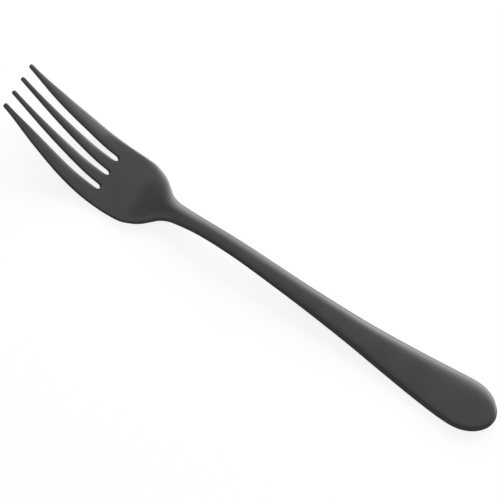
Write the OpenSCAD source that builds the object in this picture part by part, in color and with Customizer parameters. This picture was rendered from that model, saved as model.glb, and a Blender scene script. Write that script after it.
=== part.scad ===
// Four-tine dinner fork, stamped, bent and crowned from one strip of steel.
// It is drawn as a flat blank: s runs along the steel from the handle's end, y across it and n up from
// its lower face. The blank is then bent along a line in the XZ plane.
// X points to the tines, Z is up, and the table that the fork lies on is at Z = 0.

/* [Lengths along the steel] */
// Rounded end of the handle, up to the start of the grip
end_l = 42; // [36:1:50]
// Tapering grip of the handle
grip_l = 52; // [38:1:80]
// Narrow arched neck
neck_l = 36; // [28:1:50]
// Shoulders and plate of the head, up to the ends of the slots
palm_l = 27; // [22:1:36]
// Tines, from the ends of the slots to the points
tine_l = 46.6; // [36:0.2:60]
// Rounding of the handle's end, along the handle
end_round_l = 12.4; // [8:0.2:16]
// Rounding of the points, along the tines
tip_round_l = 0.6; // [0.3:0.1:1.2]
// Middle of the flat that lies on the table, from the handle's end
rest_l = 26; // [22:1:29]

/* [Widths] */
// Handle at its broadest, on the lower face
handle_w = 19.6; // [14:0.2:26]
// Neck at its narrowest
neck_w = 6.05; // [4:0.05:9]
// Head at its broadest
head_w = 26.9; // [25:0.1:32]
// Head over the points of the outer tines
tips_w = 20; // [18:0.1:24]
// Inner tine at the ends of the slots
inner_tine_w = 4; // [2.8:0.1:4.6]
// Outer tine at the ends of the slots
outer_tine_w = 5.6; // [4:0.1:6.4]
// Inner tine at its point
inner_tip_w = 1.3; // [0.8:0.05:2]
// Outer tine at its point
outer_tip_w = 1.55; // [0.8:0.05:2.4]
// Middle to middle of the inner tines, at the ends of the slots
root_pitch = 6.45; // [6:0.05:7]
// Middle to middle of the inner tines, at the points
tip_pitch = 6.3; // [5.6:0.05:7]

/* [Thickness] */
// Side wall of the handle
handle_edge_t = 2.8; // [1.6:0.1:4]
// Height of the handle's crown above its side walls
handle_crown = 0.85; // [0.2:0.05:1.4]
// Side wall of the neck
neck_edge_t = 2.1; // [1.4:0.1:3.2]
// Height of the neck's crown above its side walls
neck_crown = 0.55; // [0.2:0.05:1.2]
// Height of the shoulders' crown above their side walls
shoulder_crown = 0.58; // [0.2:0.02:1]
// Side wall of the head
head_edge_t = 1.6; // [1.1:0.1:2.4]
// Height of the head's crown above its side walls
head_crown = 0.28; // [0.1:0.02:0.6]
// Side wall of a tine at its point
tip_edge_t = 0.95; // [0.7:0.05:1.6]
// Rounding of the tines' top edges along the slots
slot_round = 0.12; // [0.06:0.02:0.4]

/* [Edges] */
// Lean of the handle's side walls, from the lower to the upper edge
handle_draft = 0.65; // [0.1:0.05:1]
// Lean of the neck's side walls
neck_draft = 0.3; // [0.05:0.05:0.6]
// Lean of the head's side walls
head_draft = 0.12; // [0.02:0.02:0.3]
// Rounding of all lower edges
under_r = 0.35; // [0.1:0.05:0.5]
// Depth of the flat under the handle
rest_flat = 0.1; // [0.05:0.01:0.2]

/* [Bends] */
// Lift of the handle's end, in degrees
end_lift = 9; // [2:0.5:14]
// Rise of the grip towards the neck, in degrees
grip_rise = 4.55; // [2:0.05:8]
// Fall of the neck towards the head, in degrees
neck_drop = 11; // [6:0.5:18]
// Rise of the tines where their sweep is done, in degrees
tine_rise = 21.5; // [12:0.5:30]
// Rise of the tines at their points, in degrees
tip_rise = 29; // [14:0.5:40]

/* [Hidden] */
steel_color = [0.27, 0.27, 0.265];

// Places along the steel
grip_s = end_l;
neck_s = grip_s + grip_l;
palm_s = neck_s + neck_l;
root_s = palm_s + palm_l;
tip_s = root_s + tine_l;
blunt_s = tip_s - tip_round_l;

// Places within a stretch, as shares of its length
full_share = 0.165;
mid_grip_share = 0.404;
slim_share = 0.3;
crest_share = 0.4;
waist_share = 0.667;
drop_share = 0.11;
shoulder_share = 0.37;
plate_share = 0.6;
level_share = 0.75;
heel_share = 0.8;
broad_share = 0.87;
thin_share = 0.25;
sweep_share = 0.32;
full_s = grip_s + full_share * grip_l;
mid_grip_s = grip_s + mid_grip_share * grip_l;
slim_s = neck_s + slim_share * neck_l;
crest_s = neck_s + crest_share * neck_l;
waist_s = neck_s + waist_share * neck_l;
drop_s = palm_s + drop_share * palm_l;
shoulder_s = palm_s + shoulder_share * palm_l;
plate_s = palm_s + plate_share * palm_l;
level_s = palm_s + level_share * palm_l;
heel_s = palm_s + heel_share * palm_l;
broad_s = palm_s + broad_share * palm_l;
thin_s = root_s + thin_share * tine_l;
sweep_s = root_s + sweep_share * tine_l;

// Outlines: [share of the way, share of the change in width]
grip_taper_shares = [
    [0, 1], [0.05, 0.96], [0.104, 0.875], [0.314, 0.51], [0.42, 0.342], [0.525, 0.228], [0.683, 0.106], [1, 0]
];
shoulder_shares = [
    [0, 0], [0.33, 0.071], [0.43, 0.194], [0.5, 0.404], [0.575, 0.645], [0.65, 0.805], [0.8, 0.975], [1, 1]
];
head_taper_shares = [[0, 0], [0.31, 0.135], [0.65, 0.555], [1, 1]];
inner_tine_shares = [[0, 1], [0.3, 0.645], [0.65, 0.285], [1, 0]];
outer_tine_shares = [[0, 1], [0.3, 0.81], [0.65, 0.485], [1, 0]];

// Powers of the rounded forms: 2 is an ellipse, and more is squarer
end_power = 2;
handle_power = 2.3;
neck_power = 1.7;
head_power = 4;
tine_power = 2.3;

// Rounding of a narrow tine's lower edges, at most this share of its half width
under_limit_share = 0.4;
// Rounding of the slots' lower edges at their ends, as a share of the full rounding
root_under_share = 0.2;
// Face left at a tine's point, as a share of its section
blunt_share = 0.55;
// Side wall at the very end of the handle, as a share of the handle's
end_wall_share = 0.9;

// How far the flat's cut runs past the steel
overrun = 5;

// Steps of the skin
bottom_steps = 2;
corner_steps = 2;
crown_steps = 7;
root_steps = 6;
tip_steps = 3;
round_steps = 11;
round_from = 4;
end_steps = 12;
grip_steps = 17;
neck_steps = 14;
palm_steps = 20;
tine_steps = 24;
spine_steps = 400;
slope_steps = 20000;

function mix(a, b, q) = a + (b - a) * q;
function share(s, from, to) = min(1, max(0, (s - from) / (to - from)));
function round_off(q, power) = pow(max(0, 1 - pow(q, power)), 1 / power);
function ease(q) = q * q * (3 - 2 * q);
function spread(from, to, steps) = [for (i = [0 : steps]) mix(from, to, i / steps)];

// A smooth curve through the points of a table, which never swings past them
function rate(t, i) = (t[i + 1][1] - t[i][1]) / (t[i + 1][0] - t[i][0]);
function slope(t, i) =
    i == 0 || i == len(t) - 1 || rate(t, i - 1) * rate(t, i) <= 0 ? 0
    : let(
        before = t[i][0] - t[i - 1][0],
        after = t[i + 1][0] - t[i][0],
        u = 2 * after + before,
        v = after + 2 * before
    )
    (u + v) / (u / rate(t, i - 1) + v / rate(t, i));
function curve(t, x) =
    let(
        i = max([for (k = [0 : len(t) - 2]) if (k == 0 || t[k][0] <= x) k]),
        run = t[i + 1][0] - t[i][0],
        q = share(x, t[i][0], t[i + 1][0])
    )
    mix(t[i][1], t[i + 1][1], ease(q))
        + run * q * (1 - q) * (slope(t, i) * (1 - q) - slope(t, i + 1) * q);

// Half the width of the whole fork, on its lower face
function half_w(s) =
    s < end_round_l ? handle_w / 2 * round_off(1 - s / end_round_l, end_power)
    : s < waist_s ? mix(neck_w, handle_w, curve(grip_taper_shares, share(s, end_round_l, waist_s))) / 2
    : s < broad_s ? mix(neck_w, head_w, curve(shoulder_shares, share(s, waist_s, broad_s))) / 2
    : mix(head_w, tips_w, curve(head_taper_shares, share(s, broad_s, tip_s))) / 2;

// Angle that the outline makes with the length
slope_ds = tip_s / slope_steps;
function outline_turn(s) =
    let(from = max(0, s - slope_ds))
    atan((half_w(s + slope_ds) - half_w(from)) / (s + slope_ds - from));

// Section of the fork along its length: [place, size]
function along(handle, neck, head, tip, head_s) = [
    [0, handle], [full_s, handle], [slim_s, neck], [palm_s, neck],
    [head_s, head], [thin_s, head], [tip_s, tip]
];
edge_stations = concat(
    [[0, end_wall_share * handle_edge_t], [rest_l, handle_edge_t]],
    [for (p = along(handle_edge_t, neck_edge_t, head_edge_t, tip_edge_t, plate_s)) if (p[0] > 0) p]
);
crown_stations = [
    [0, handle_crown], [full_s, handle_crown], [slim_s, neck_crown], [palm_s, neck_crown],
    [shoulder_s, shoulder_crown], [level_s, head_crown], [tip_s, head_crown]
];
draft_stations = along(handle_draft, neck_draft, head_draft, head_draft, plate_s);
power_stations = along(handle_power, neck_power, head_power, head_power, level_s);
function edge_t(s) = curve(edge_stations, s);
function crown(s) = curve(crown_stations, s) * round_off(max(0, 1 - s / end_round_l), 2);
function draft(s) = curve(draft_stations, s);
function power(s) = curve(power_stations, s);

// How far one unit of inset moves a point along and across: square to the outline on the rounded end,
// and straight across everywhere else, so that every cut between two stretches is flat
function inset(s) =
    let(turn = outline_turn(s))
    s < end_round_l ? [sin(turn), cos(turn)] : [0, 1 / cos(turn)];

// One side of a section, from beside the middle of its lower face to beside the middle of its top
function body_side(s) =
    let(
        a = half_w(s),
        r = under_r,
        d = draft(s),
        in = inset(s),
        p = 2 / power(s)
    )
    concat(
        [for (i = [1 : bottom_steps - 1]) [s + r * in[0], (a - r * in[1]) * i / bottom_steps, 0]],
        [for (i = [0 : corner_steps])
            let(turn = 90 * i / corner_steps, back = r * (1 - sin(turn)))
            [s + back * in[0], a - back * in[1], r * (1 - cos(turn))]],
        [for (i = [0 : crown_steps - 1])
            let(turn = 90 * i / crown_steps)
            [s + d * in[0], (a - d * in[1]) * pow(cos(turn), p), edge_t(s) + crown(s) * pow(sin(turn), p)]]
    );
function mirrored(side) = [for (i = [len(side) - 1 : -1 : 0]) [side[i][0], -side[i][1], side[i][2]]];
function body_ring(s) =
    let(side = body_side(s), in = inset(s))
    concat(
        [[s + under_r * in[0], 0, 0]],
        side,
        [[s + draft(s) * in[0], 0, edge_t(s) + crown(s)]],
        mirrored(side)
    );

// Edges of the tines on the left: [inner edge, outer edge] of the inner tine, then of the outer one,
// first with open slots and then with the round ends of the slots
function open_edges(s) =
    let(
        q = share(s, root_s, tip_s),
        middle = mix(root_pitch, tip_pitch, q) / 2,
        inner = mix(inner_tip_w, inner_tine_w, curve(inner_tine_shares, q)) / 2,
        outer = mix(outer_tip_w, outer_tine_w, curve(outer_tine_shares, q))
    )
    [middle - inner, middle + inner, half_w(s) - outer, half_w(s)];
root_edges = open_edges(root_s);
middle_slot_r = root_edges[0];
side_slot_r = (root_edges[2] - root_edges[1]) / 2;
function slot_open(s, r) = round_off(1 - share(s, root_s, root_s + r), 2);
function tine_edges(s) =
    let(
        e = open_edges(s),
        middle = (e[1] + e[2]) / 2,
        half = (e[2] - e[1]) / 2 * slot_open(s, side_slot_r)
    )
    [e[0] * slot_open(s, middle_slot_r), middle - half, middle + half, e[3]];

// Top of the head, and how much of the slots' edge rounding has grown in
function outer_edge(s) = half_w(s) - draft(s) * inset(s)[1];
function head_top(s, y) = edge_t(s) + crown(s) * round_off(min(1, y / outer_edge(s)), power(s));
function grown(s) = ease(share(s, root_s, root_s + 2 * side_slot_r));
function tip_size(s) = mix(blunt_share, 1, round_off(1 - share(tip_s - s, 0, tip_round_l), 2));

// One side of a tine's section, from its middle to a slot's wall or to the leaning wall of the outline
function tine_side(s, middle, edge, slot) =
    let(
        way = sign(edge - middle),
        full_r = min(under_r, under_limit_share * abs(edge - middle)),
        r = full_r * (slot ? mix(root_under_share, 1, grown(s)) : 1),
        top_edge = slot ? edge : outer_edge(s),
        p = 2 / (slot ? tine_power : power(s))
    )
    concat(
        [for (i = [1 : bottom_steps - 1]) [s, mix(middle, edge - way * r, i / bottom_steps), 0]],
        [for (i = [0 : corner_steps])
            let(turn = 90 * i / corner_steps)
            [s, edge - way * r * (1 - sin(turn)), r * (1 - cos(turn))]],
        [for (i = [0 : crown_steps - 1])
            let(
                turn = 90 * i / crown_steps,
                y = mix(middle, top_edge, pow(cos(turn), p)),
                fall = slot ? slot_round * grown(s) * (1 - pow(sin(turn), p)) : 0
            )
            [s, y, head_top(s, y) - fall]]
    );
function reversed(side) = [for (i = [len(side) - 1 : -1 : 0]) side[i]];
function tine_ring(s, first, outer) =
    let(
        e = tine_edges(s),
        middle = (e[first] + e[first + 1]) / 2,
        thick = head_top(s, middle),
        ring = concat(
            [[s, middle, 0]],
            tine_side(s, middle, e[first + 1], !outer),
            [[s, middle, thick]],
            reversed(tine_side(s, middle, e[first], true))
        )
    )
    [for (p = ring) [s, mix(middle, p[1], tip_size(s)), mix(thick / 2, p[2], tip_size(s))]];

// The line that the lower face is bent along. The fork then tips until it lies on the flat under its
// handle and on the heel of its head.
bend_stations = [
    [0, -end_lift], [rest_l, 0], [mid_grip_s, grip_rise], [neck_s, grip_rise], [crest_s, 0],
    [drop_s, -neck_drop], [heel_s, 0], [sweep_s, tine_rise], [tip_s, tip_rise]
];
spine_ds = tip_s / spine_steps;
function spine(tilt) = [
    for (
        i = 0, p = [0, 0], b = 0;
        i <= spine_steps;
        b = curve(bend_stations, (i + 0.5) * spine_ds) - tilt, p = p + spine_ds * [cos(b), sin(b)], i = i + 1
    ) p
];
waist_step = floor(waist_s / spine_ds);
function lowest(line, from, to) =
    let(z = min([for (i = [from : to]) line[i][1]]))
    [for (i = [from : to]) if (line[i][1] == z) line[i]][0];
function tilt_of(line) =
    let(rest = lowest(line, 0, waist_step), heel = lowest(line, waist_step, spine_steps))
    atan((heel[1] - rest[1] - rest_flat) / (heel[0] - rest[0]));
tilt = tilt_of(spine(0));
line = spine(tilt);
table_z = lowest(line, waist_step, spine_steps)[1];
middle_x = (line[0][0] + line[spine_steps][0]) / 2;

function place(p) =
    let(
        i = min(floor(p[0] / spine_ds), spine_steps - 1),
        at = mix(line[i], line[i + 1], p[0] / spine_ds - i),
        turn = curve(bend_stations, p[0]) - tilt
    )
    [at[0] - middle_x - p[2] * sin(turn), p[1], at[1] - table_z + p[2] * cos(turn)];

// A closed skin over a row of rings. Each ring starts at the middle of its lower face, and its half way
// point is the middle of its top, from which a flat end closes in a fan. A start that isn't flat closes
// in strips from side to side, which follow its wall.
module skin(rings, flat_start) {
    n = len(rings[0]);
    top = n / 2;
    low = bottom_steps + 1;
    last = (len(rings) - 1) * n;
    fan = [for (j = [0 : n - 1]) if (j != top && j != top - 1) [top, j, (j + 1) % n]];
    strips = concat(
        [for (j = [n - low : n + low - 2]) [low, j % n, (j + 1) % n]],
        [for (j = [low : top - 2]) [j, j + 1, n - j - 1]],
        [for (j = [low : top - 1]) [j, n - j - 1, n - j]]
    );
    walls = [
        for (i = [0 : len(rings) - 2], j = [0 : n - 1])
            let(a = i * n + j, b = i * n + (j + 1) % n)
            each [[a, a + n, b + n], [a, b + n, b]]
    ];
    polyhedron(
        points = [for (ring = rings, p = ring) place(p)],
        faces = concat(
            walls,
            flat_start ? fan : strips,
            [for (f = fan) [f[2] + last, f[1] + last, f[0] + last]]
        )
    );
}

module stretch(stations, flat_start = true) {
    color(steel_color) skin([for (s = stations) body_ring(s)], flat_start);
}

module tine(first, outer) {
    sweep = concat(
        [for (i = [0 : root_steps - 1]) root_s + side_slot_r * (1 - cos(90 * i / root_steps))],
        spread(root_s + side_slot_r, blunt_s, tine_steps),
        [for (i = [1 : tip_steps]) blunt_s + tip_round_l * sin(90 * i / tip_steps)]
    );
    color(steel_color) skin([for (s = sweep) tine_ring(s, first, outer)], true);
}

// Everything under the table along the handle's end
module below_table() {
    translate([line[0][0] - middle_x - overrun, -handle_w / 2 - overrun, -overrun])
        cube([end_l + 2 * overrun, handle_w + 2 * overrun, overrun]);
}

module handle_end() {
    rounded = [for (i = [0 : round_steps - 1]) mix(round_from, 90, i / round_steps)];
    color(steel_color) difference() {
        stretch(concat(
            [for (turn = rounded) end_round_l * (1 - cos(turn))],
            spread(end_round_l, grip_s, end_steps)
        ), flat_start = false);
        below_table();
    }
}

module handle() { stretch(spread(grip_s, neck_s, grip_steps)); }

module neck() { stretch(spread(neck_s, palm_s, neck_steps)); }

module palm() { stretch(spread(palm_s, root_s, palm_steps)); }

module left_outer_tine() { tine(2, true); }

module left_inner_tine() { tine(0, false); }

module right_inner_tine() { mirror([0, 1, 0]) left_inner_tine(); }

module right_outer_tine() { mirror([0, 1, 0]) left_outer_tine(); }

handle_end();
handle();
neck();
palm();
left_outer_tine();
left_inner_tine();
right_inner_tine();
right_outer_tine();
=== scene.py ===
# %% [markdown]
# # A dinner fork in dark satin
# The real fork is one strip of steel. It is stamped flat, slotted, pressed to its bends and its crown, and
# then coated dark all over. This lesson rebuilds its eight stretches as fine meshes on a measured frame,
# gives them the coating, and lights them as a product picture does.

# %% Load the measured frame
import math

import bmesh
import bpy
from mathutils import Matrix, Vector


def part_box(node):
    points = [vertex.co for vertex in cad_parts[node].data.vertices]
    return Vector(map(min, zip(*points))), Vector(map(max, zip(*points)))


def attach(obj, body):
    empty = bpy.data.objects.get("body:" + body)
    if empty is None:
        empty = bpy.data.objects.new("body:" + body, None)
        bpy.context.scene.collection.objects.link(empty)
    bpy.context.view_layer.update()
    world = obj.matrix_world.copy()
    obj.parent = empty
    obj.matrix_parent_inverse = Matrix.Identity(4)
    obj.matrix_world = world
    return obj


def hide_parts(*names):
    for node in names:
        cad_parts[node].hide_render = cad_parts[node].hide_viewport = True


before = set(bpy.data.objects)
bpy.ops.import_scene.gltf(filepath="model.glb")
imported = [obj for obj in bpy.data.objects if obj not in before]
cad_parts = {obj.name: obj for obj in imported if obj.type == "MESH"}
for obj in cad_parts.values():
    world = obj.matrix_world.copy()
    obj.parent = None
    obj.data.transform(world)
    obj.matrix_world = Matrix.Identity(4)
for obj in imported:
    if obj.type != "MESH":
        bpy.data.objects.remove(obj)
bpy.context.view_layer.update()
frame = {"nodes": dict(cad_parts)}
MM = 0.001
print("nodes:", ", ".join(frame["nodes"]))

# %% [markdown]
# ## The flat blank
# A cutler draws the fork flat first. Here s runs along the steel from the end of the handle, y runs across
# it, and n rises from its lower face. Points could be typed in one by one, but a few lengths and smooth
# curves between them are easier to read and to change. The sizes are those that the frame was built from.

# %% Lengths along the steel
end_l = 42 * MM
grip_l = 52 * MM
neck_l = 36 * MM
palm_l = 27 * MM
tine_l = 46.6 * MM
end_round_l = 12.4 * MM
rest_l = 26 * MM
grip_s = end_l
neck_s = grip_s + grip_l
palm_s = neck_s + neck_l
root_s = palm_s + palm_l
tip_s = root_s + tine_l
print("steel from end to points in mm:", round(tip_s / MM, 1))

# %% Mixing, easing and rounding
ellipse_power = 2
half_way = 0.5


def mix(a, b, q):
    """The value that lies a share q of the way from a to b."""
    return a + (b - a) * q


def share(s, start, end):
    """How far s has come from start to end, from 0 to 1."""
    return min(1.0, max(0.0, (s - start) / (end - start)))


def ease(q):
    """A share that sets off and arrives gently."""
    return q * q * (3 - 2 * q)


def round_off(q, power):
    """Height of a rounded quarter at q. A power of 2 gives an ellipse, and a higher one is squarer."""
    return max(0.0, 1 - q ** power) ** (1 / power)


print("height of a quarter circle half way out:", round(round_off(half_way, ellipse_power), 3))

# %% A smooth curve through a few chosen points
def rate(table, i):
    """How steeply a table rises from its point i to the next."""
    return (table[i + 1][1] - table[i][1]) / (table[i + 1][0] - table[i][0])


def slope(table, i):
    """The curve's slope at a point: level at ends and turns, and else a mean of the rates beside it."""
    if i in (0, len(table) - 1) or rate(table, i - 1) * rate(table, i) <= 0:
        return 0.0
    before = table[i][0] - table[i - 1][0]
    after = table[i + 1][0] - table[i][0]
    u = 2 * after + before
    v = after + 2 * before
    return (u + v) / (u / rate(table, i - 1) + v / rate(table, i))


def smooth_curve(table, x):
    """A curve through a table's points that never swings past them."""
    i = max(k for k in range(len(table) - 1) if k == 0 or table[k][0] <= x)
    run = table[i + 1][0] - table[i][0]
    q = share(x, table[i][0], table[i + 1][0])
    swing = slope(table, i) * (1 - q) - slope(table, i + 1) * q
    return mix(table[i][1], table[i + 1][1], ease(q)) + run * q * (1 - q) * swing


trial_table = [(0, 0), (1, 1), (3, 2)]
print("a trial curve half way to its second point:", round(smooth_curve(trial_table, half_way), 3))

# %% Half the width of the blank
handle_w = 19.6 * MM
neck_w = 6.05 * MM
head_w = 26.9 * MM
tips_w = 20 * MM
waist_share = 0.667
broad_share = 0.87
waist_s = neck_s + waist_share * neck_l
broad_s = palm_s + broad_share * palm_l
grip_taper_shares = [
    (0, 1), (0.05, 0.96), (0.104, 0.875), (0.314, 0.51),
    (0.42, 0.342), (0.525, 0.228), (0.683, 0.106), (1, 0),
]
shoulder_shares = [
    (0, 0), (0.33, 0.071), (0.43, 0.194), (0.5, 0.404),
    (0.575, 0.645), (0.65, 0.805), (0.8, 0.975), (1, 1),
]
head_taper_shares = [(0, 0), (0.31, 0.135), (0.65, 0.555), (1, 1)]


def half_width(s):
    """Half the width of the lower face: rounded end, tapering grip, shoulders and narrowing head."""
    if s < end_round_l:
        return handle_w / 2 * round_off(1 - s / end_round_l, ellipse_power)
    if s < waist_s:
        widening = smooth_curve(grip_taper_shares, share(s, end_round_l, waist_s))
        return mix(neck_w, handle_w, widening) / 2
    if s < broad_s:
        swelling = smooth_curve(shoulder_shares, share(s, waist_s, broad_s))
        return mix(neck_w, head_w, swelling) / 2
    narrowing = smooth_curve(head_taper_shares, share(s, broad_s, tip_s))
    return mix(head_w, tips_w, narrowing) / 2


sample_steps = 10
samples = [tip_s * i / sample_steps for i in range(sample_steps + 1)]
print("half widths in mm from end to points:", [round(half_width(s) / MM, 2) for s in samples])

# %% The angle that the outline makes with the length
outline_step = 0.01 * MM


def outline_turn(s):
    """The outline's angle at s, from its width a little before and a little after."""
    start = max(0.0, s - outline_step)
    end = s + outline_step
    return math.atan((half_width(end) - half_width(start)) / (end - start))


print("outline's angle half way along the grip:", round(math.degrees(outline_turn(grip_s + grip_l / 2)), 2))

# %% [markdown]
# ## Thickness and crown
# The press leaves the steel thick at the handle and thin at the points. Its top is crowned, so that light
# rolls off towards the edges, and its side walls lean in a little. Four short tables hold the wall, the
# crown, the lean and the crown's squareness along the steel, and the crown's also has a place at the
# shoulders. A bevel on flat sheet would be quicker, but its edge would be equally round everywhere, and the
# crown is what gives this fork its sheen.

# %% Places where the section changes
full_share = 0.165
slim_share = 0.3
plate_share = 0.6
shoulder_share = 0.37
level_share = 0.75
thin_share = 0.25
full_s = grip_s + full_share * grip_l
slim_s = neck_s + slim_share * neck_l
plate_s = palm_s + plate_share * palm_l
shoulder_s = palm_s + shoulder_share * palm_l
level_s = palm_s + level_share * palm_l
thin_s = root_s + thin_share * tine_l


def along_steel(handle, neck, head, tip, head_s):
    """A table with one size for the handle, the neck, the head from head_s on, and the points."""
    return [
        (0, handle), (full_s, handle), (slim_s, neck), (palm_s, neck),
        (head_s, head), (thin_s, head), (tip_s, tip),
    ]


print("the neck is slim in mm from", round(slim_s / MM, 1), "to", round(palm_s / MM, 1))

# %% Sizes of the section along the steel
handle_wall = 2.8 * MM
neck_wall = 2.1 * MM
head_wall = 1.6 * MM
tip_wall = 0.95 * MM
end_wall_share = 0.9
wall_table = along_steel(handle_wall, neck_wall, head_wall, tip_wall, plate_s)
wall_table[0:1] = [(0, end_wall_share * handle_wall), (rest_l, handle_wall)]
handle_crown = 0.85 * MM
neck_crown = 0.55 * MM
shoulder_crown = 0.58 * MM
head_crown = 0.28 * MM
crown_table = [
    (0, handle_crown), (full_s, handle_crown), (slim_s, neck_crown), (palm_s, neck_crown),
    (shoulder_s, shoulder_crown), (level_s, head_crown), (tip_s, head_crown),
]
handle_lean = 0.65 * MM
neck_lean = 0.3 * MM
head_lean = 0.12 * MM
lean_table = along_steel(handle_lean, neck_lean, head_lean, head_lean, plate_s)
handle_power = 2.3
neck_power = 1.7
head_power = 4
power_table = along_steel(handle_power, neck_power, head_power, head_power, level_s)
print("stations in the wall table:", len(wall_table), "and in the crown table:", len(crown_table))

# %% The section's sizes at any place
def wall(s):
    return smooth_curve(wall_table, s)


def crown(s):
    """The crown's height, which dies away round the end of the handle."""
    return smooth_curve(crown_table, s) * round_off(max(0.0, 1 - s / end_round_l), ellipse_power)


def lean(s):
    return smooth_curve(lean_table, s)


def power(s):
    return smooth_curve(power_table, s)


def outer_edge(s):
    """Half the width where the leaning walls meet the crown, away from the rounded end."""
    return half_width(s) - lean(s) / math.cos(outline_turn(s))


def top_height(s, y):
    """Height of the top over the lower face, y away from the middle."""
    return wall(s) + crown(s) * round_off(min(1.0, abs(y) / outer_edge(s)), power(s))


for name, s in (("handle", full_s), ("neck", palm_s), ("head", root_s)):
    print("thickness of the", name, "in mm:", round(top_height(s, 0) / MM, 2))

# %% [markdown]
# ## The bend
# In the side view the blank follows one smooth line: the end of the handle lifts a little, the grip rises
# to an arched neck, the head dips to a heel and the tines sweep up. A curve object could be drawn by eye.
# Here short steps are added up whose angle follows a table, because angles are what a press tool sets. The
# line is then tipped until handle and heel both lie on the table.

# %% The line that the lower face follows
end_lift = 9
grip_rise = 4.55
neck_drop = 11
tine_rise = 21.5
tip_rise = 29
mid_grip_share = 0.404
crest_share = 0.4
drop_share = 0.11
heel_share = 0.8
sweep_share = 0.32
heel_s = palm_s + heel_share * palm_l
bend_table = [
    (0, -end_lift),
    (rest_l, 0),
    (grip_s + mid_grip_share * grip_l, grip_rise),
    (neck_s, grip_rise),
    (neck_s + crest_share * neck_l, 0),
    (palm_s + drop_share * palm_l, -neck_drop),
    (heel_s, 0),
    (root_s + sweep_share * tine_l, tine_rise),
    (tip_s, tip_rise),
]
spine_steps = 400
spine_gap = tip_s / spine_steps


def bent_line(tilt):
    """Points along the bent lower face, each a short step on from the one before."""
    points = [Vector((0, 0, 0))]
    for i in range(spine_steps):
        angle = math.radians(smooth_curve(bend_table, (i + half_way) * spine_gap) - tilt)
        points.append(points[-1] + spine_gap * Vector((math.cos(angle), 0, math.sin(angle))))
    return points


print("places with a set angle:", len(bend_table), "and steps along the line:", spine_steps)

# %% Tip the line onto the table
rest_flat = 0.1 * MM
waist_step = math.floor(waist_s / spine_gap)


def lowest(points):
    return min(points, key=lambda p: p.z)


level_line = bent_line(0)
level_rest = lowest(level_line[:waist_step + 1])
level_heel = lowest(level_line[waist_step:])
heel_rise = level_heel.z - level_rest.z - rest_flat
tilt = math.degrees(math.atan(heel_rise / (level_heel.x - level_rest.x)))
line = bent_line(tilt)
line_shift = Vector(((line[0].x + line[-1].x) / 2, 0, lowest(line[waist_step:]).z))


def spine_frame(s):
    """Place, direction along and direction up of the lower face at s."""
    i = min(int(s / spine_gap), spine_steps - 1)
    place = line[i].lerp(line[i + 1], s / spine_gap - i) - line_shift
    angle = math.radians(smooth_curve(bend_table, s) - tilt)
    along = Vector((math.cos(angle), 0, math.sin(angle)))
    up = Vector((-math.sin(angle), 0, math.cos(angle)))
    return place, along, up


print("tipped by", round(tilt, 3), "degrees")
for name, s in (("end", 0), ("heel", heel_s), ("points", tip_s)):
    print(name, "in mm:", [round(v / MM, 2) for v in spine_frame(s)[0].xz])

# %% [markdown]
# ## The coating
# A dark coating a few thousandths of a millimetre thick takes over the fine lines of the satin polish under
# it. An image could carry those lines, but noise that is drawn out along the steel never repeats. The lines
# follow the bend, so the grain reads each point's place on the flat blank, which the pieces carry as an
# attribute. Broad, faint clouds vary the tone, and edges that rub on plates have worn a little paler. The
# neck is more matt than the rest, and a tint tones down the white shine that metal has at grazing angles.

# %% Helpers that add nodes and join them
def add_node(tree, kind, **settings):
    made = tree.nodes.new(kind)
    for name, value in settings.items():
        setattr(made, name, value)
    return made


def feed(tree, socket, value):
    """Joins a socket to another one, or sets it to a plain value."""
    if isinstance(value, bpy.types.NodeSocket):
        tree.links.new(value, socket)
    else:
        socket.default_value = value


def calc(tree, operation, *values):
    """A Math node in the words of its operation."""
    made = add_node(tree, "ShaderNodeMath", operation=operation)
    for socket, value in zip(made.inputs, values):
        feed(tree, socket, value)
    return made.outputs["Value"]


print("helpers:", ", ".join(helper.__name__ for helper in (add_node, feed, calc)))

# %% Noise, ranges and mixed tones
def noise(tree, place, scale, detail):
    made = add_node(tree, "ShaderNodeTexNoise")
    feed(tree, made.inputs["Vector"], place)
    feed(tree, made.inputs["Scale"], scale)
    feed(tree, made.inputs["Detail"], detail)
    return made.outputs["Fac"]


def ranged(tree, value, low, high, to_low, to_high):
    """Carries a value from the range low to high over to another range, and holds it at the ends."""
    made = add_node(tree, "ShaderNodeMapRange")
    for socket, number in zip(made.inputs, (value, low, high, to_low, to_high)):
        feed(tree, socket, number)
    return made.outputs["Result"]


def mixed_tones(tree, factor, first, second):
    made = add_node(tree, "ShaderNodeMix", data_type="RGBA")
    sockets = {socket.identifier: socket for socket in made.inputs}
    feed(tree, sockets["Factor_Float"], factor)
    feed(tree, sockets["A_Color"], first)
    feed(tree, sockets["B_Color"], second)
    return next(socket for socket in made.outputs if socket.identifier == "Result_Color")


noise_range = (0.35, 0.65)
print("noise mostly lies between", *noise_range)

# %% Tone of the coating: clouds and rubbed rims
tone_deep = (0.0555, 0.0555, 0.053, 1)
tone_pale = (0.063, 0.063, 0.0605, 1)
tone_rubbed = (0.085, 0.085, 0.082, 1)
cloud_scale = 60
cloud_detail = 2
rub_range = (0.75, 1)
rub_scale = 900
rub_detail = 3


def coating_tone(tree):
    place = add_node(tree, "ShaderNodeTexCoord").outputs["Object"]
    clouds = ranged(tree, noise(tree, place, cloud_scale, cloud_detail), *noise_range, 0, 1)
    tone = mixed_tones(tree, clouds, tone_deep, tone_pale)
    rim = add_node(tree, "ShaderNodeAttribute", attribute_name="rim").outputs["Fac"]
    patches = noise(tree, place, rub_scale, rub_detail)
    rubbed = calc(tree, "MULTIPLY", ranged(tree, rim, *rub_range, 0, 1), patches)
    return mixed_tones(tree, rubbed, tone, tone_rubbed)


print("clouds in mm:", round(1 / cloud_scale / MM, 1), "and rubbed patches:", round(1 / rub_scale / MM, 1))

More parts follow.
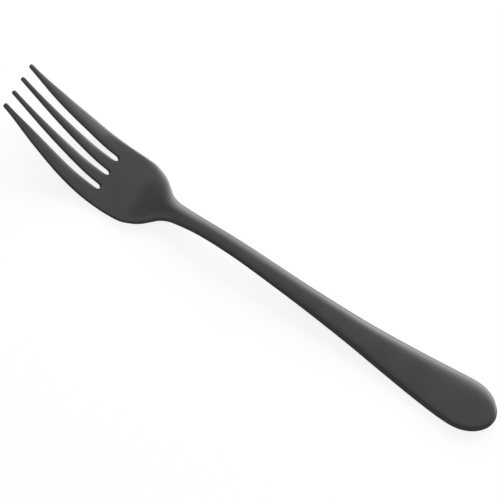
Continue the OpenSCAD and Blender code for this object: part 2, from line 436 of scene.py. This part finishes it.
# %% Satin of the coating: grain along the steel and a matt neck
grain_stretch = (120, 4000, 4000)
grain_scale = 1
grain_detail = 3
grain_rough = (0.15, 0.2)
neck_matt = 0.13
matt_rise = (55 * MM, 105 * MM)
matt_fall = (122 * MM, 136 * MM)


def coating_satin(tree):
    """The grain, and the roughness that follows from it and from the place along the steel."""
    drawn_out = add_node(tree, "ShaderNodeMapping")
    blank = add_node(tree, "ShaderNodeAttribute", attribute_name="blank").outputs["Vector"]
    feed(tree, drawn_out.inputs["Vector"], blank)
    feed(tree, drawn_out.inputs["Scale"], grain_stretch)
    grain = noise(tree, drawn_out.outputs["Vector"], grain_scale, grain_detail)
    spot = add_node(tree, "ShaderNodeSeparateXYZ")
    feed(tree, spot.inputs["Vector"], blank)
    rising = ranged(tree, spot.outputs["X"], *matt_rise, 0, neck_matt)
    matt = calc(tree, "MULTIPLY", rising, ranged(tree, spot.outputs["X"], *matt_fall, 1, 0))
    satin = ranged(tree, grain, *noise_range, *grain_rough)
    return grain, calc(tree, "ADD", satin, matt)


most_rough = grain_rough[1] + neck_matt
print("roughness from", grain_rough[0], "on the handle to", round(most_rough, 2), "on the neck")

# %% Dark satin steel
grazing_tint = (0.6, 0.6, 0.6, 1)
grain_depth = 0.0004 * MM


def dark_satin_steel():
    material = bpy.data.materials.new("dark_satin_steel")
    material.use_nodes = True
    tree = material.node_tree
    shader = tree.nodes["Principled BSDF"]
    shader.inputs["Metallic"].default_value = 1
    shader.inputs["Specular Tint"].default_value = grazing_tint
    feed(tree, shader.inputs["Base Color"], coating_tone(tree))
    grain, roughness = coating_satin(tree)
    feed(tree, shader.inputs["Roughness"], roughness)
    lines = add_node(tree, "ShaderNodeBump")
    feed(tree, lines.inputs["Height"], grain)
    feed(tree, lines.inputs["Distance"], grain_depth)
    feed(tree, shader.inputs["Normal"], lines.outputs["Normal"])
    return material


coating = dark_satin_steel()
print("nodes in the coating:", len(coating.node_tree.nodes))

# %% [markdown]
# ## One tree for every stretch
# Every stretch of the fork is the same idea: a section that changes as it travels along a line. Mesh code
# could loft it ring by ring. Here Geometry Nodes sweep a plain ring along a rail of stations with Curve to
# Mesh, which hands the ring's and the rail's attributes on to each new point. Set Position then puts each
# point where the section's formula says, so one tree serves a handle and a tine alike.

# %% The ring: which part of the section each of its points belongs to
floor_points = 6
corner_points = 6
crown_points = 30


def half_ring():
    """From the lower face round its corner and up the crown: share of the floor, cosine, sine, on top."""
    points = [(i / floor_points, 1, 0, 0) for i in range(1, floor_points)]
    for i in range(corner_points + 1):
        turn = math.pi / 2 * i / corner_points
        points.append((1, math.cos(turn), math.sin(turn), 0))
    for i in range(crown_points):
        turn = math.pi / 2 * i / crown_points
        points.append((1, math.cos(turn), math.sin(turn), 1))
    return points


flank_points = half_ring()
ring_rows = [(0, 0, 1, 0, 0)]
ring_rows += [(1, *point) for point in flank_points]
ring_rows += [(0, 1, 0, 1, 1)]
ring_rows += [(-1, *point) for point in reversed(flank_points)]
print("points round a section:", len(ring_rows))

# %% Meshes of edges that carry attributes
def put_attribute(mesh, name, values):
    is_vector = isinstance(values[0], (tuple, Vector))
    kind = "FLOAT_VECTOR" if is_vector else "FLOAT"
    attribute = mesh.attributes.new(name, kind, "POINT")
    for item, value in zip(attribute.data, values):
        setattr(item, "vector" if is_vector else "value", value)


def wire_object(name, points, edges, columns):
    """An object of points and edges alone, with one attribute for each column."""
    mesh = bpy.data.meshes.new(name)
    mesh.from_pydata(points, edges, [])
    for column, values in columns.items():
        put_attribute(mesh, column, values)
    made = bpy.data.objects.new(name, mesh)
    bpy.context.scene.collection.objects.link(made)
    return made


ring_names = ("flank", "floor_share", "turn_cos", "turn_sin", "on_top")
ring_columns = {name: [float(row[i]) for row in ring_rows] for i, name in enumerate(ring_names)}
ring_angles = [2 * math.pi * i / len(ring_rows) for i in range(len(ring_rows))]
ring = wire_object(
    "section_ring",
    [(MM * math.cos(angle), MM * math.sin(angle), 0) for angle in ring_angles],
    [(i, (i + 1) % len(ring_rows)) for i in range(len(ring_rows))],
    ring_columns,
)
print("attributes on the ring:", ", ".join(ring_columns))

# %% The sweep tree's inputs
sweep = bpy.data.node_groups.new("swept_section", "GeometryNodeTree")
sweep.is_modifier = True


def new_input(name, kind):
    return sweep.interface.new_socket(name, in_out="INPUT", socket_type=kind).identifier


new_input("Rail", "NodeSocketGeometry")
ring_input = new_input("Section Ring", "NodeSocketObject")
side_input = new_input("Side", "NodeSocketFloat")
table_input = new_input("Table Height", "NodeSocketFloat")
rim_input = new_input("Rim Sharpness", "NodeSocketFloat")
coating_input = new_input("Coating", "NodeSocketMaterial")
sweep.interface.new_socket("Stretch", in_out="OUTPUT", socket_type="NodeSocketGeometry")
given = add_node(sweep, "NodeGroupInput").outputs
print("inputs:", ", ".join(socket.name for socket in given if socket.name))

# %% Helpers that read attributes and choose between values in the tree
def read(name, kind="FLOAT"):
    made = add_node(sweep, "GeometryNodeInputNamedAttribute", data_type=kind)
    feed(sweep, made.inputs["Name"], name)
    return made.outputs["Attribute"]


def pick(kind, test, if_false, if_true):
    made = add_node(sweep, "GeometryNodeSwitch", input_type=kind)
    for name, value in (("Switch", test), ("False", if_false), ("True", if_true)):
        feed(sweep, made.inputs[name], value)
    return made.outputs["Output"]


print("helpers:", ", ".join(helper.__name__ for helper in (read, pick)))

# %% Helpers that handle vectors in the tree
def vector_of(*values):
    made = add_node(sweep, "ShaderNodeCombineXYZ")
    for socket, value in zip(made.inputs, values):
        feed(sweep, socket, value)
    return made.outputs["Vector"]


def parts_of(vector):
    made = add_node(sweep, "ShaderNodeSeparateXYZ")
    feed(sweep, made.inputs["Vector"], vector)
    return tuple(made.outputs)


def moved(start, direction, distance):
    """A place that lies a distance from start along a direction."""
    made = add_node(sweep, "ShaderNodeVectorMath", operation="MULTIPLY_ADD")
    stretched = vector_of(distance, distance, distance)
    for socket, value in zip(made.inputs, (direction, stretched, start)):
        feed(sweep, socket, value)
    return made.outputs["Vector"]


print("helpers:", ", ".join(helper.__name__ for helper in (vector_of, parts_of, moved)))

# %% The section's formula: widths and heights
flank = read("flank")
turn_cos = read("turn_cos")
turn_sin = read("turn_sin")
is_left = calc(sweep, "GREATER_THAN", flank, 0)
span_form = pick("VECTOR", is_left, read("right_span", "FLOAT_VECTOR"), read("left_span", "FLOAT_VECTOR"))
edge_form = pick("VECTOR", is_left, read("right_edge", "FLOAT_VECTOR"), read("left_edge", "FLOAT_VECTOR"))
span, lean_in, under_in = parts_of(span_form)
bulge, fall, under_up = parts_of(edge_form)
wall_n, crown_n, dome_power = parts_of(read("top_form", "FLOAT_VECTOR"))
middle, dome_span, tip_size = parts_of(read("place_form", "FLOAT_VECTOR"))

floor_y = calc(sweep, "MULTIPLY", read("floor_share"), calc(sweep, "SUBTRACT", span, under_in))
low_y = calc(sweep, "MULTIPLY_ADD", turn_sin, under_in, floor_y)
low_n = calc(sweep, "MULTIPLY", under_up, calc(sweep, "SUBTRACT", 1, turn_cos))
top_span = calc(sweep, "SUBTRACT", span, lean_in)
top_y = calc(sweep, "MULTIPLY", top_span, calc(sweep, "POWER", turn_cos, bulge))
print("nodes so far:", len(sweep.nodes))

# %% The section's formula: the crown, and the rounded edge along a slot
from_middle = calc(sweep, "ABSOLUTE", calc(sweep, "MULTIPLY_ADD", flank, top_y, middle))
way_out = calc(sweep, "MINIMUM", calc(sweep, "DIVIDE", from_middle, dome_span), 1)
left_over = calc(sweep, "SUBTRACT", 1, calc(sweep, "POWER", way_out, dome_power))
dome = calc(sweep, "POWER", left_over, calc(sweep, "DIVIDE", 1, dome_power))
domed_n = calc(sweep, "MULTIPLY_ADD", crown_n, dome, wall_n)
rounding = calc(sweep, "SUBTRACT", 1, calc(sweep, "POWER", turn_sin, bulge))
top_n = calc(sweep, "SUBTRACT", domed_n, calc(sweep, "MULTIPLY", fall, rounding))
print("nodes so far:", len(sweep.nodes))

# %% The section's formula: the blunt point, and the place on the bend
on_top = read("on_top")
thick, lean_back, under_back = parts_of(read("end_form", "FLOAT_VECTOR"))
half_thick = calc(sweep, "DIVIDE", thick, 2)
full_across = calc(sweep, "MULTIPLY", flank, pick("FLOAT", on_top, low_y, top_y))
across = calc(sweep, "MULTIPLY_ADD", full_across, tip_size, middle)
y = calc(sweep, "MULTIPLY", across, given["Side"])
from_half = calc(sweep, "SUBTRACT", pick("FLOAT", on_top, low_n, top_n), half_thick)
height = calc(sweep, "MULTIPLY_ADD", from_half, tip_size, half_thick)
low_back = calc(sweep, "MULTIPLY", under_back, calc(sweep, "SUBTRACT", 1, turn_sin))
back = pick("FLOAT", on_top, low_back, lean_back)

on_spine = moved(read("spine_at", "FLOAT_VECTOR"), read("spine_along", "FLOAT_VECTOR"), back)
x, _, z = parts_of(moved(on_spine, read("spine_up", "FLOAT_VECTOR"), height))
final_place = vector_of(x, y, calc(sweep, "MAXIMUM", z, given["Table Height"]))
blank_place = vector_of(calc(sweep, "ADD", read("station"), back), y, height)
rim_share = calc(sweep, "MULTIPLY", on_top, calc(sweep, "POWER", turn_cos, given["Rim Sharpness"]))
print("nodes so far:", len(sweep.nodes))

# %% The sweep itself
def step(kind, geometry, **settings):
    """A node that takes geometry in at its first socket."""
    made = add_node(sweep, kind, **settings)
    feed(sweep, made.inputs[0], geometry)
    return made


def store(geometry, name, kind, value):
    made = step("GeometryNodeStoreNamedAttribute", geometry, data_type=kind, domain="POINT")
    feed(sweep, made.inputs["Name"], name)
    feed(sweep, made.inputs["Value"], value)
    return made.outputs["Geometry"]


ring_info = add_node(sweep, "GeometryNodeObjectInfo")
feed(sweep, ring_info.inputs["Object"], given["Section Ring"])
ring_curve = step("GeometryNodeMeshToCurve", ring_info.outputs["Geometry"])
rail_curve = step("GeometryNodeMeshToCurve", given["Rail"])
tube = step("GeometryNodeCurveToMesh", rail_curve.outputs["Curve"])
feed(sweep, tube.inputs["Profile Curve"], ring_curve.outputs["Curve"])
feed(sweep, tube.inputs["Fill Caps"], True)
grained = store(tube.outputs["Mesh"], "blank", "FLOAT_VECTOR", blank_place)
rimmed = store(grained, "rim", "FLOAT", rim_share)
shaped = step("GeometryNodeSetPosition", rimmed)
feed(sweep, shaped.inputs["Position"], final_place)
print("nodes so far:", len(sweep.nodes))

# %% Smooth sides, flat ends, outward faces and the coating
most_corners = 4
corners = add_node(sweep, "GeometryNodeCornersOfFace").outputs["Total"]
smooth = step("GeometryNodeSetShadeSmooth", shaped.outputs["Geometry"])
feed(sweep, smooth.inputs["Shade Smooth"], calc(sweep, "LESS_THAN", corners, most_corners + 1))
turned = step("GeometryNodeFlipFaces", smooth.outputs["Geometry"])
is_right = calc(sweep, "LESS_THAN", given["Side"], 0)
outward = pick("GEOMETRY", is_right, smooth.outputs["Geometry"], turned.outputs["Mesh"])
plain = step("GeometryNodeRealizeInstances", outward)
coated = step("GeometryNodeSetMaterial", plain.outputs["Geometry"])
feed(sweep, coated.inputs["Material"], given["Coating"])
feed(sweep, add_node(sweep, "NodeGroupOutput").inputs["Stretch"], coated.outputs["Geometry"])
print("nodes and links in the tree:", len(sweep.nodes), len(sweep.links))

# %% [markdown]
# ## From a rail to a finished piece
# A rail is a row of points, one at each station, which carries the section's sizes as attributes. The tree
# could stay on the object as a modifier, but the export wants plain meshes, so each result is kept as one.
# A piece stands for one node of the frame, and its box and volume are printed to show that it fits there.

# %% A rail of stations
sliver = 0.004 * MM


def spread(start, end, gap):
    """Stations from start to end that are evenly spaced, at most a gap apart."""
    steps = math.ceil((end - start) / gap)
    return [mix(start, end, i / steps) for i in range(steps + 1)]


def make_rail(name, stations, station_form):
    """One point at each station, joined in a row. A sliver at either end keeps the shading there true."""
    first, *between, last = stations
    rows = []
    for s in (first, first + sliver, *between, last - sliver, last):
        place, along, up = spine_frame(s)
        bend_form = {"station": s, "spine_at": place, "spine_along": along, "spine_up": up}
        rows.append({**bend_form, **station_form(s)})
    columns = {column: [row[column] for row in rows] for column in rows[0]}
    edges = [(i, i + 1) for i in range(len(rows) - 1)]
    return wire_object(name + "_rail", columns["spine_at"], edges, columns)


ring_gap = 0.45 * MM
print("stations along the neck:", len(spread(neck_s, palm_s, ring_gap)))

# %% What is printed of a piece
axis_numbers = (0, 1, 2)


def past_node(piece, node):
    """How far the piece's box reaches past its node's on each axis. A negative length is room to spare."""
    low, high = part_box(node)
    box = [Vector(corner) for corner in piece.bound_box]
    below = [low[i] - min(corner[i] for corner in box) for i in axis_numbers]
    above = [max(corner[i] for corner in box) - high[i] for i in axis_numbers]
    return [max(pair) for pair in zip(below, above)]


def report_piece(piece, node):
    """Prints the piece's faces, its volume, which is negative if they point inwards, and its fit."""
    shell = bmesh.new()
    shell.from_mesh(piece.data)
    volume = shell.calc_volume(signed=True)
    open_edges = sum(not edge.is_manifold for edge in shell.edges)
    shell.free()
    print(
        piece.name, "faces", len(piece.data.polygons), "volume mm3", round(volume / MM ** 3, 1),
        "open edges", open_edges, "past its node in mm", [round(v / MM, 3) for v in past_node(piece, node)],
    )


print("helpers:", ", ".join(helper.__name__ for helper in (past_node, report_piece)))

# %% Keep a mesh as a piece, and sweep one
table_height = 0.0
rim_sharpness = 3.0
kept_attributes = ("position", "blank", "rim", "sharp_face", "material_index")


def keep_piece(name, node, mesh):
    """Drops the attributes that only the tree needed, and lets the mesh stand for a node."""
    spare = [a.name for a in mesh.attributes if a.name not in kept_attributes and not a.is_internal]
    for attribute_name in spare:
        mesh.attributes.remove(mesh.attributes[attribute_name])
    mesh.name = name
    piece = bpy.data.objects.new(name, mesh)
    bpy.context.scene.collection.objects.link(piece)
    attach(piece, "root")
    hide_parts(node)
    report_piece(piece, node)


def sweep_piece(name, node, stations, station_form, side=1.0):
    """Sweeps the ring along a rail and keeps the result as a plain mesh."""
    rail = make_rail(name, stations, station_form)
    modifier = rail.modifiers.new("sweep", "NODES")
    modifier.node_group = sweep
    modifier[ring_input] = ring
    modifier[side_input] = side
    modifier[table_input] = table_height
    modifier[rim_input] = rim_sharpness
    modifier[coating_input] = coating
    graph = bpy.context.evaluated_depsgraph_get()
    mesh = bpy.data.meshes.new_from_object(rail.evaluated_get(graph), depsgraph=graph)
    rail.modifiers.remove(modifier)
    bpy.data.objects.remove(rail)
    keep_piece(name, node, mesh)


print("a piece keeps:", ", ".join(kept_attributes))

# %% [markdown]
# ## The handle, the neck and the palm
# These stretches are whole across, so both flanks of a station are alike. Each could be a mesh of its own
# with edges bevelled by hand. Swept from shared stations, neighbours meet in the very same section, and no
# seam shows. On the rounded end the walls lean square to the outline, as they do when a round end is
# pressed, and elsewhere they lean straight across.

# %% Sizes at a station of a whole stretch
under_r = 0.35 * MM


def stretch_form(s):
    """The section's sizes: spans and edges of both flanks, the top, the middle, and the end's lean."""
    turn = outline_turn(s)
    rounded = s < end_round_l
    across = math.cos(turn) if rounded else 1 / math.cos(turn)
    back = math.sin(turn) if rounded else 0.0
    span = (half_width(s), lean(s) * across, under_r * across)
    edge = (2 / power(s), 0.0, under_r)
    return {
        "left_span": span,
        "right_span": span,
        "left_edge": edge,
        "right_edge": edge,
        "top_form": (wall(s), crown(s), power(s)),
        "place_form": (0.0, span[0] - span[1], 1.0),
        "end_form": (top_height(s, 0), lean(s) * back, under_r * back),
    }


print("half span in mm at the neck:", round(stretch_form(neck_s)["left_span"][0] / MM, 2))

# %% Sweep the four whole stretches
end_turns = 48
first_turn = math.radians(1)
end_angles = [mix(first_turn, math.pi / 2, i / end_turns) for i in range(end_turns)]
end_stations = [end_round_l * (1 - math.cos(angle)) for angle in end_angles]
end_stations += spread(end_round_l, grip_s, ring_gap)
sweep_piece("rounded_end", "handle_end", end_stations, stretch_form)
sweep_piece("tapering_grip", "handle", spread(grip_s, neck_s, ring_gap), stretch_form)
sweep_piece("arched_neck", "neck", spread(neck_s, palm_s, ring_gap), stretch_form)
sweep_piece("shouldered_palm", "palm", spread(palm_s, root_s, ring_gap), stretch_form)

# %% [markdown]
# ## The tines
# The slots are punched with round ends and then ground wider towards the points, which leaves the tines
# slim and evenly tapered. Slots cut out of a finished head with booleans would leave ragged triangles on
# its crown. Instead each tine is a sweep of its own: its outer flank keeps the outline's leaning wall, and
# a flank on a slot is upright with a rounded top edge that grows in past the slot's end.

# %% Edges of the tines with open slots
inner_tine_w = 4 * MM
outer_tine_w = 5.6 * MM
inner_tip_w = 1.3 * MM
outer_tip_w = 1.55 * MM
root_pitch = 6.45 * MM
tip_pitch = 6.3 * MM
inner_tine_shares = [(0, 1), (0.3, 0.645), (0.65, 0.285), (1, 0)]
outer_tine_shares = [(0, 1), (0.3, 0.81), (0.65, 0.485), (1, 0)]


def straight_edges(s):
    """Inner and outer edge of the inner tine, then of the outer one, before the slots' ends are rounded."""
    q = share(s, root_s, tip_s)
    inner_middle = mix(root_pitch, tip_pitch, q) / 2
    inner_half = mix(inner_tip_w, inner_tine_w, smooth_curve(inner_tine_shares, q)) / 2
    outer_width = mix(outer_tip_w, outer_tine_w, smooth_curve(outer_tine_shares, q))
    outside = half_width(s)
    return inner_middle - inner_half, inner_middle + inner_half, outside - outer_width, outside


root_edges = straight_edges(root_s)
middle_slot_r = root_edges[0]
side_slot_r = (root_edges[2] - root_edges[1]) / 2
print("radius of the slots' ends in mm:", round(middle_slot_r / MM, 2), round(side_slot_r / MM, 2))

# %% Round ends of the slots, and blunt points
blunt_share = 0.55
tip_round_l = 0.6 * MM
grown_radii = 2


def slot_open(s, radius):
    """Share of its width that a slot has reached at s."""
    return round_off(1 - share(s, root_s, root_s + radius), ellipse_power)


def tine_edges(s):
    first, second, third, outside = straight_edges(s)
    slot_middle = (second + third) / 2
    slot_half = (third - second) / 2 * slot_open(s, side_slot_r)
    return first * slot_open(s, middle_slot_r), slot_middle - slot_half, slot_middle + slot_half, outside


def rounded_tip(s):
    """Share of its size that a tine's section keeps where its point is rounded."""
    return mix(blunt_share, 1, round_off(1 - share(tip_s - s, 0, tip_round_l), ellipse_power))


def grown(s):
    """Share of the rounding along a slot's edge that has grown in at s."""
    return ease(share(s, root_s, root_s + grown_radii * side_slot_r))


print("a point's size as a share of its tine's:", round(rounded_tip(tip_s), 2))

# %% Sizes at a station of a tine
slot_round = 0.12 * MM
tine_power = 2.3
under_limit_share = 0.4
root_under_share = 0.2
inner_first_edge = 0
outer_first_edge = 2


def tine_form(s, first, outer):
    """The section's sizes between two neighbouring edges, with a slot on one flank or on both."""
    edges = tine_edges(s)
    middle = (edges[first] + edges[first + 1]) / 2
    half = (edges[first + 1] - edges[first]) / 2
    full_r = min(under_r, under_limit_share * half)
    slot_r = full_r * mix(root_under_share, 1, grown(s))
    slot_span = (half, 0.0, slot_r)
    slot_edge = (2 / tine_power, slot_round * grown(s), slot_r)
    outer_span = (half, edges[first + 1] - outer_edge(s), full_r)
    outer_flank = (2 / power(s), 0.0, full_r)
    return {
        "left_span": outer_span if outer else slot_span,
        "right_span": slot_span,
        "left_edge": outer_flank if outer else slot_edge,
        "right_edge": slot_edge,
        "top_form": (wall(s), crown(s), power(s)),
        "place_form": (middle, outer_edge(s), rounded_tip(s)),
        "end_form": (top_height(s, middle), 0.0, 0.0),
    }


def outer_form(s):
    return tine_form(s, outer_first_edge, True)


def inner_form(s):
    return tine_form(s, inner_first_edge, False)


for name, form in (("inner", inner_form), ("outer", outer_form)):
    print("half span in mm at the point of an", name, "tine:", round(form(tip_s)["left_span"][0] / MM, 3))

# %% Sweep the four tines
root_turns = 20
tip_turns = 8
root_angles = [math.pi / 2 * i / root_turns for i in range(root_turns)]
tip_angles = [math.pi / 2 * (i + 1) / tip_turns for i in range(tip_turns)]
blunt_s = tip_s - tip_round_l
tine_stations = [root_s + side_slot_r * (1 - math.cos(angle)) for angle in root_angles]
tine_stations += spread(root_s + side_slot_r, blunt_s, ring_gap)
tine_stations += [blunt_s + tip_round_l * math.sin(angle) for angle in tip_angles]
sweep_piece("left_outer_prong", "left_outer_tine", tine_stations, outer_form)
sweep_piece("left_inner_prong", "left_inner_tine", tine_stations, inner_form)
sweep_piece("right_inner_prong", "right_inner_tine", tine_stations, inner_form, side=-1.0)
sweep_piece("right_outer_prong", "right_outer_tine", tine_stations, outer_form, side=-1.0)
bpy.data.objects.remove(ring)

# %% [markdown]
# ## The camera
# The picture is nearly parallel, so a very long lens stands far away. A parallel camera would come close,
# but a long lens is what a product studio uses. The camera looks down on the fork from the left of its
# handle, and is rolled so that the handle runs to the lower right. Its place follows from three things read
# off the picture: its scale, its roll, and the pixel where the end of the handle lies.

# %% Directions and distance of the camera
picture_px = 500
scale_px = 2930
elevation = math.radians(60)
roll = math.radians(32.9)
handle_end_px = (494.3, 421.8)
lens_mm = 1000
sensor_mm = 36

level_right = Vector((-1, 0, 0))
level_up = Vector((0, -math.sin(elevation), math.cos(elevation)))
towards_camera = Vector((0, math.cos(elevation), math.sin(elevation)))
right = math.cos(roll) * level_right + math.sin(roll) * level_up
up = math.cos(roll) * level_up - math.sin(roll) * level_right
to_centre = [(picture_px / 2 - pixel) / scale_px for pixel in handle_end_px]
target = spine_frame(0)[0] + to_centre[0] * right - to_centre[1] * up
distance = lens_mm / sensor_mm * picture_px / scale_px
print("camera distance in m:", round(distance, 3), "target in mm:", [round(v / MM, 1) for v in target])

# %% Camera at the picture's angle
lens = bpy.data.cameras.new("picture_camera")
lens.lens = lens_mm
lens.sensor_width = sensor_mm
camera = bpy.data.objects.new("picture_camera", lens)
axes = Matrix((right, up, towards_camera)).transposed().to_4x4()
camera.matrix_world = Matrix.Translation(target + distance * towards_camera) @ axes
bpy.context.scene.collection.objects.link(camera)
bpy.context.scene.camera = camera
bpy.context.scene.view_settings.view_transform = "Standard"
print("camera's place in m:", [round(v, 2) for v in camera.matrix_world.translation])

# %% [markdown]
# ## The table and the room
# The fork lies on a plain pale table in a white room. Strong lamps over a white floor would make the
# background white too, but they would wash out the dark steel. Here rays from the camera see room and table
# nearly white, whatever light falls on them. Rays off the steel see a room that is dimmer in one corner and
# on the near side, and a greyer table, as in a studio whose walls aren't all lit. Other rays get a weaker,
# even fill. The table glows only in part, so it keeps the fork's shadow.

# %% Which rays look
def looking_rays(tree):
    """Whether a ray comes from the camera, and whether it comes off or through something shiny."""
    rays = add_node(tree, "ShaderNodeLightPath").outputs
    shiny = calc(tree, "MAXIMUM", rays["Is Glossy Ray"], rays["Is Transmission Ray"])
    return rays["Is Camera Ray"], shiny


print("helper:", looking_rays.__name__)

# %% The white room, dimmer in one corner and on the near side
white = (1, 1, 1, 1)
room_fill = 0.55
corner_from = 0.27
corner_to = 0.37
corner_dim = 0.48
near_from = -0.15
near_to = 0.25
near_dim = 0.8


def white_room():
    room = bpy.data.worlds.new("white_room")
    room.use_nodes = True
    tree = room.node_tree
    seen, shiny = looking_rays(tree)
    direction = add_node(tree, "ShaderNodeTexCoord").outputs["Generated"]
    sideways = add_node(tree, "ShaderNodeSeparateXYZ")
    feed(tree, sideways.inputs["Vector"], direction)
    corner = ranged(tree, sideways.outputs["X"], corner_from, corner_to, 1, corner_dim)
    near = ranged(tree, sideways.outputs["Y"], near_from, near_to, 1, near_dim)
    reflected = calc(tree, "MULTIPLY", shiny, calc(tree, "MULTIPLY", corner, near))
    lit = calc(tree, "MULTIPLY", calc(tree, "SUBTRACT", 1, shiny), room_fill)
    strength = calc(tree, "MAXIMUM", seen, calc(tree, "ADD", reflected, lit))
    feed(tree, tree.nodes["Background"].inputs["Strength"], strength)
    tree.nodes["Background"].inputs["Color"].default_value = white
    return room


bpy.context.scene.world = white_room()
print("room's fill:", room_fill, "and in its dim corner, as the steel sees it:", corner_dim)

# %% Paint of the pale table
table_tone = (0.93, 0.93, 0.93, 1)
seen_white = 0.85
mirrored_white = 0.9
mirrored_tone = 0.58


def pale_paint():
    """Matt paint that is mixed with an even glow for the rays that look at it."""
    material = bpy.data.materials.new("pale_table")
    material.use_nodes = True
    tree = material.node_tree
    paint = tree.nodes["Principled BSDF"]
    paint.inputs["Base Color"].default_value = table_tone
    paint.inputs["Roughness"].default_value = 1
    paint.inputs["Specular IOR Level"].default_value = 0
    seen, shiny = looking_rays(tree)
    glow = add_node(tree, "ShaderNodeEmission")
    feed(tree, glow.inputs["Strength"], ranged(tree, seen, 0, 1, mirrored_tone, 1))
    glowing = calc(tree, "MULTIPLY_ADD", shiny, mirrored_white, calc(tree, "MULTIPLY", seen, seen_white))
    blend = add_node(tree, "ShaderNodeMixShader")
    for socket, value in zip(blend.inputs, (glowing, paint.outputs["BSDF"], glow.outputs["Emission"])):
        feed(tree, socket, value)
    feed(tree, tree.nodes["Material Output"].inputs["Surface"], blend.outputs["Shader"])
    return material


table_paint = pale_paint()
print("nodes in the paint:", len(table_paint.node_tree.nodes))

# %% The pale table
table_half = 6.0
table_gap = 0.02 * MM
table_corners = [(-1, -1), (1, -1), (1, 1), (-1, 1)]
table_points = [(table_half * i, table_half * j, -table_gap) for i, j in table_corners]

table_mesh = bpy.data.meshes.new("table")
table_mesh.from_pydata(table_points, [], [tuple(range(len(table_points)))])
table_mesh.materials.append(table_paint)
table = bpy.data.objects.new("table", table_mesh)
bpy.context.scene.collection.objects.link(table)
print("table in m:", 2 * table_half, "square, and under the fork in mm:", table_gap / MM)

# %% [markdown]
# ## The softbox
# One broad softbox on the far side puts the bright band along the far edge of the steel. A small lamp would
# give a hard spark instead of a band, and a box with sharp edges would draw them on the polish. This one is
# placed by the directions that it fills, and it fades towards its top, its foot and the handle's side.

# %% Directions that the softbox fills, up from the table and round from straight behind
box_low = math.radians(4)
box_full_low = math.radians(20)
box_full = math.radians(40.5)
box_high = math.radians(53.5)
box_from = math.radians(-42)
box_full_from = math.radians(-27)
box_to = math.radians(40)
box_distance = 1.5
box_middle = (box_low + box_high) / 2
box_turn = (box_from + box_to) / 2
box_width = 2 * box_distance * math.tan((box_to - box_from) / 2)
box_height = 2 * box_distance * math.tan((box_high - box_low) / 2)
print("softbox in m:", round(box_width, 2), "by", round(box_height, 2))

# %% Soft edges
def place_on_box(angle, middle, size):
    """Where a direction meets the box, from 0 at its foot or the handle's side to 1."""
    return half_way + box_distance * math.tan(angle - middle) / size


fade_start = place_on_box(box_full, box_middle, box_height)
foot_end = place_on_box(box_full_low, box_middle, box_height)
side_end = place_on_box(box_full_from, box_turn, box_width)


def soft_edges(lamp):
    """The box shines evenly, and fades towards its top, its foot and the handle's side."""
    lamp.use_nodes = True
    tree = lamp.node_tree
    place = add_node(tree, "ShaderNodeSeparateXYZ")
    feed(tree, place.inputs["Vector"], add_node(tree, "ShaderNodeNewGeometry").outputs["Parametric"])
    top = ranged(tree, place.outputs["Y"], fade_start, 1, 1, 0)
    side = ranged(tree, place.outputs["X"], 0, side_end, 0, 1)
    foot = ranged(tree, place.outputs["Y"], 0, foot_end, 0, 1)
    ends = calc(tree, "MULTIPLY", top, foot)
    feed(tree, tree.nodes["Emission"].inputs["Strength"], calc(tree, "MULTIPLY", ends, side))


print("even up from", round(foot_end, 2), "to", round(fade_start, 2))
print("even across from", round(side_end, 2))

# %% The softbox on the far side
box_radiance = 5.2

softbox_lamp = bpy.data.lights.new("far_softbox", "AREA")
softbox_lamp.shape = "RECTANGLE"
softbox_lamp.size = box_width
softbox_lamp.size_y = box_height
softbox_lamp.energy = box_radiance * math.pi * box_width * box_height
soft_edges(softbox_lamp)
softbox = bpy.data.objects.new("far_softbox", softbox_lamp)
flat_way = Vector((math.sin(box_turn), -math.cos(box_turn), 0))
to_box = math.cos(box_middle) * flat_way + math.sin(box_middle) * Vector((0, 0, 1))
facing = to_box.to_track_quat("Z", "Y").to_matrix().to_4x4()
softbox.matrix_world = Matrix.Translation(box_distance * to_box) @ facing
softbox.visible_camera = False
bpy.context.scene.collection.objects.link(softbox)
print("softbox in W:", round(softbox_lamp.energy, 1))
